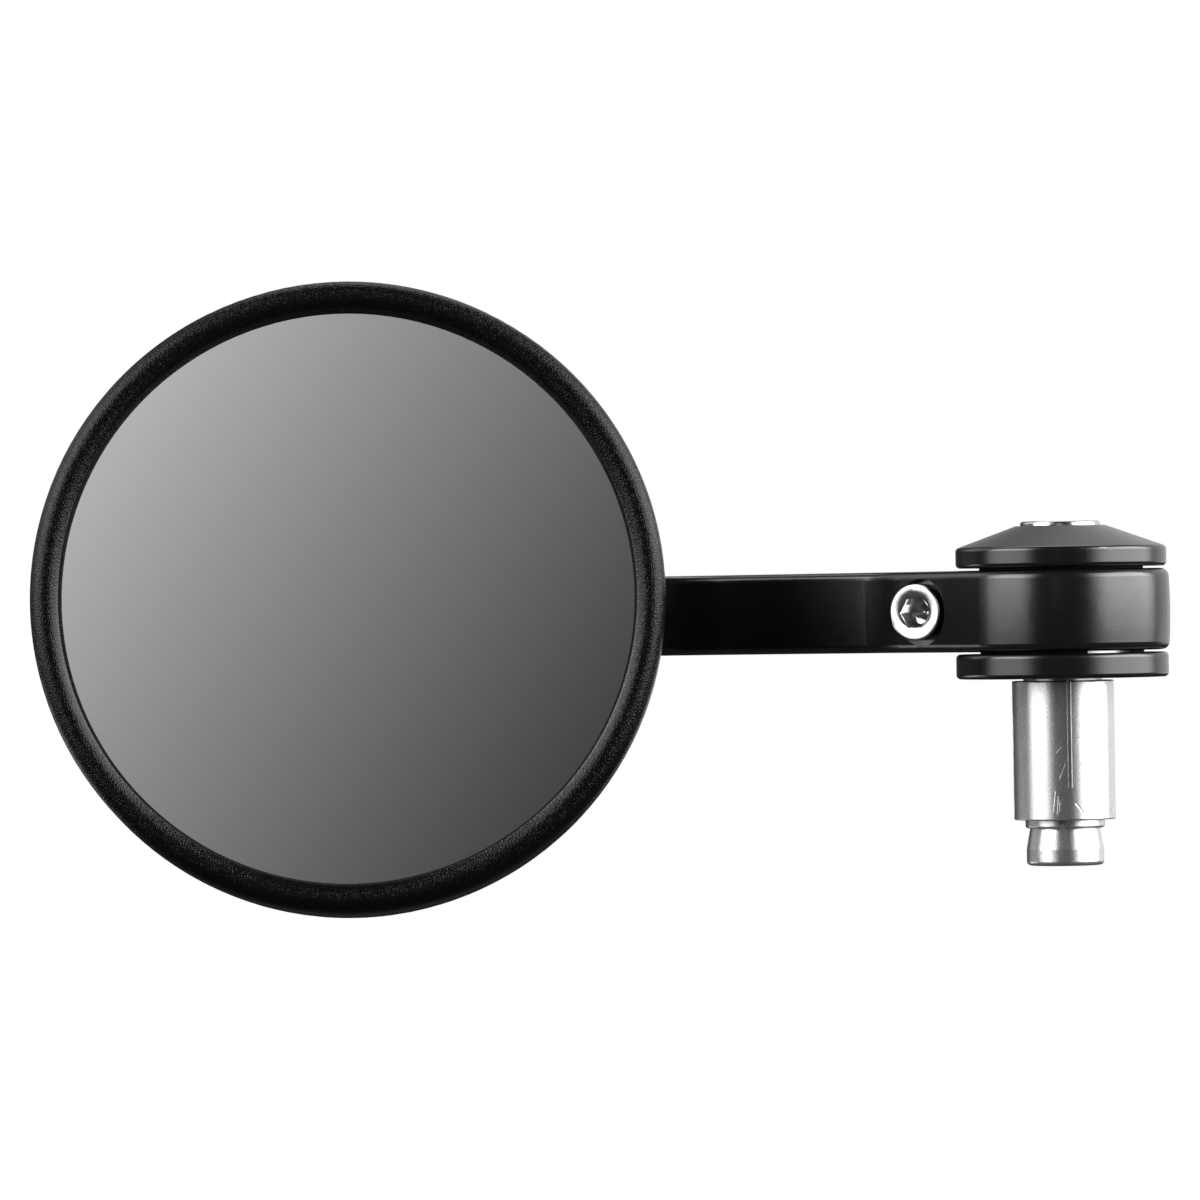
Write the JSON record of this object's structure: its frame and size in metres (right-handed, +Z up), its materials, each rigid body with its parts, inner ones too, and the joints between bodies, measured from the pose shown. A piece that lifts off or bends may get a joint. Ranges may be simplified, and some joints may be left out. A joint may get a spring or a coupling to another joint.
{
  "type": "motorcycle bar end mirror",
  "caption": "Round convex mirror on a ball stud and a clamp arm that swings on a hub, with a slit, wedge-expanded insert that grips the open end of a handlebar.",
  "frame": {"origin": "on the hub axis, at the upper end of the insert's sleeve, 0.45 mm below the flange that meets the bar", "axes": "+Z up the hub away from the bar, -X across towards the mirror head, -Y the way the glass faces"},
  "size_m": [0.2013, 0.0755, 0.1126],
  "materials": {
    "black_coat": "satin",
    "bare_aluminium": "satin",
    "bright_steel": "satin",
    "grained_plastic": "matte",
    "mirror": "polished",
    "foam": "matte",
    "acetal": "satin"
  },
  "bodies": {
    "hub": {"lower_flange": "black_coat", "pivot_bush": "black_coat", "end_cap": "black_coat", "expander_tube": "bare_aluminium", "adapter_sleeve": "bare_aluminium"},
    "bolt": {"through_bolt": "bright_steel"},
    "wedge": {"wedge_nut": "bare_aluminium"},
    "arm": {"clamp_arm": "black_coat", "pinch_bolt": "bright_steel", "ball_stud": "bright_steel", "stud_washer": "bright_steel", "stud_nut": "bright_steel"},
    "rear_seat": {"rear_ball_seat": "acetal"},
    "front_cup": {"front_ball_cup": "acetal"},
    "head": {"mirror_housing": "grained_plastic", "rim_bezel": "grained_plastic", "mirror_glass": "mirror", "foam_pad": "foam", "disc_spring": "bright_steel", "socket_plate": "bright_steel", "plate_screws": "bright_steel"}
  },
  "joints": [
    {"name": "arm_swing", "type": "hinge", "parent": "hub", "child": "arm", "pos_m": [0, 0, 0.01245], "axis": [0, 0, 1], "continuous": true},
    {"name": "head_turn", "type": "hinge", "parent": "arm", "child": "rear_seat", "pos_m": [-0.1261, 0.01223, 0.0149], "axis": [0, 0, 1], "range_deg": [-15, 15]},
    {"name": "head_tilt", "type": "hinge", "parent": "rear_seat", "child": "front_cup", "pos_m": [-0.1261, 0.01223, 0.0149], "axis": [1, 0, 0], "range_deg": [-15, 15]},
    {"name": "head_roll", "type": "hinge", "parent": "front_cup", "child": "head", "pos_m": [-0.1261, 0.01223, 0.0149], "axis": [0, 0.9956, -0.0941], "continuous": true},
    {"name": "bolt_turn", "type": "hinge", "parent": "hub", "child": "bolt", "pos_m": [0, 0, 0], "axis": [0, 0, 1], "range_deg": [0, 1080]},
    {"name": "wedge_travel", "type": "slide", "parent": "hub", "child": "wedge", "axis": [0, 0, -1], "range_m": [0, 0.004]}
  ],
  "couplings": [
    {"joint": "wedge_travel", "follows": "bolt_turn", "m_per_rad": 0.00019894}
  ]
}
